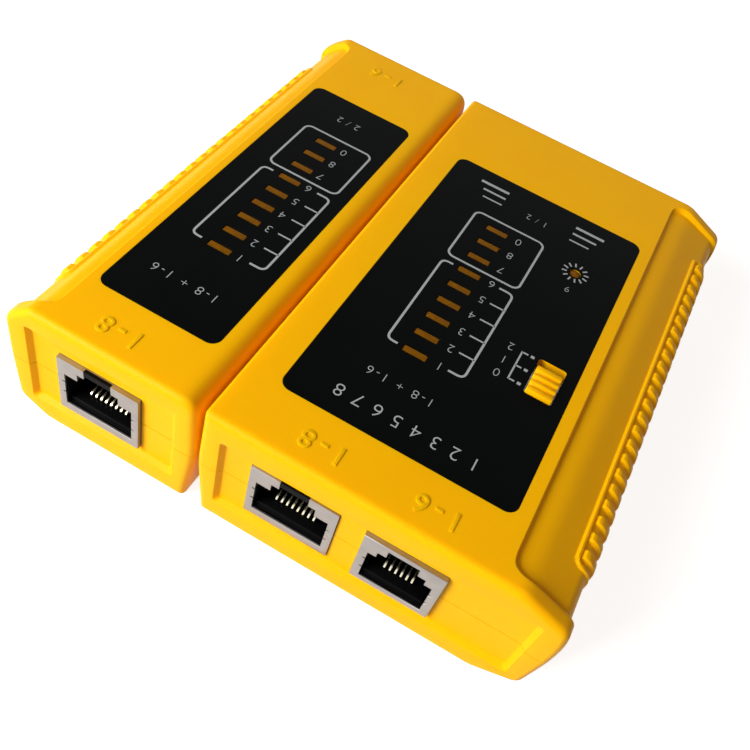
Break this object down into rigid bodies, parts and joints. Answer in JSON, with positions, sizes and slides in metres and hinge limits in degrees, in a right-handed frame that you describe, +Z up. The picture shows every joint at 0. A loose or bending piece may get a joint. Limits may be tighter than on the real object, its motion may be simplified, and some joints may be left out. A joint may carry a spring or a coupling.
{
  "type": "network cable tester",
  "caption": "Handheld network cable tester: a master unit with two sockets, lamps and a slide switch, and a narrow remote unit docked beside it on a sliding rail.",
  "frame": {"origin": "middle of the ground that the docked pair stands on", "axes": "+Y along the units, away from the master's sockets; +X from the remote to the master; +Z up, out of the printed faces"},
  "size_m": [0.102, 0.109, 0.0288],
  "materials": {
    "case_abs": "moulded, lightly polished, warm yellow",
    "label_film": "printed black film, satin",
    "socket_shield": "tin-plated pressed sheet",
    "socket_plastic": "moulded black",
    "contact_metal": "gold-flashed spring wire",
    "lamp_lens": "unlit amber lens",
    "board_laminate": "green solder mask",
    "steel": "zinc-plated",
    "chip_resin": "moulded resin",
    "battery_jacket": "lacquered steel jacket",
    "lead_red": "PVC insulation",
    "lead_black": "PVC"
  },
  "bodies": {
    "master_unit": {"master_top_shell": "case_abs", "master_bottom_shell": "case_abs", "master_face_label": "label_film", "master_circuit_board": "board_laminate", "master_led_1": "lamp_lens", "master_led_2": "lamp_lens", "master_led_3": "lamp_lens", "master_led_4": "lamp_lens", "master_led_5": "lamp_lens", "master_led_6": "lamp_lens", "master_led_7": "lamp_lens", "master_led_8": "lamp_lens", "master_led_ground": "lamp_lens", "master_power_led": "lamp_lens", "master_case_screw_1": "steel", "master_case_screw_2": "steel", "master_case_screw_3": "steel", "master_case_screw_4": "steel", "master_rj45_shield": "socket_shield", "master_rj45_housing": "socket_plastic", "master_rj45_contacts": "contact_metal", "master_rj11_shield": "socket_shield", "master_rj11_housing": "socket_plastic", "master_rj11_contacts": "contact_metal", "switch_frame": "steel", "switch_base": "chip_resin", "battery": "battery_jacket", "battery_connector": "lead_black", "battery_lead_red": "lead_red", "battery_lead_black": "lead_black", "clock_chip": "chip_resin", "counter_chip": "chip_resin"},
    "remote_unit": {"remote_top_shell": "case_abs", "remote_bottom_shell": "case_abs", "remote_face_label": "label_film", "remote_circuit_board": "board_laminate", "remote_led_1": "lamp_lens", "remote_led_2": "lamp_lens", "remote_led_3": "lamp_lens", "remote_led_4": "lamp_lens", "remote_led_5": "lamp_lens", "remote_led_6": "lamp_lens", "remote_led_7": "lamp_lens", "remote_led_8": "lamp_lens", "remote_led_ground": "lamp_lens", "remote_case_screw_1": "steel", "remote_case_screw_2": "steel", "remote_rj45_shield": "socket_shield", "remote_rj45_housing": "socket_plastic", "remote_rj45_contacts": "contact_metal", "remote_rj11_shield": "socket_shield", "remote_rj11_housing": "socket_plastic", "remote_rj11_contacts": "contact_metal"},
    "power_switch": {"switch_slider": "chip_resin", "switch_knob": "case_abs"},
    "battery_cover": {"battery_door": "case_abs"}
  },
  "joints": [
    {"name": "remote_slide", "type": "slide", "parent": "master_unit", "child": "remote_unit", "axis": [0, 1, 0], "range_m": [0, 0.085]},
    {"name": "switch_slide", "type": "slide", "parent": "master_unit", "child": "power_switch", "axis": [0, 1, 0], "range_m": [0, 0.0024]},
    {"name": "battery_door_slide", "type": "slide", "parent": "master_unit", "child": "battery_cover", "axis": [0, 1, 0], "range_m": [0, 0.069]}
  ]
}
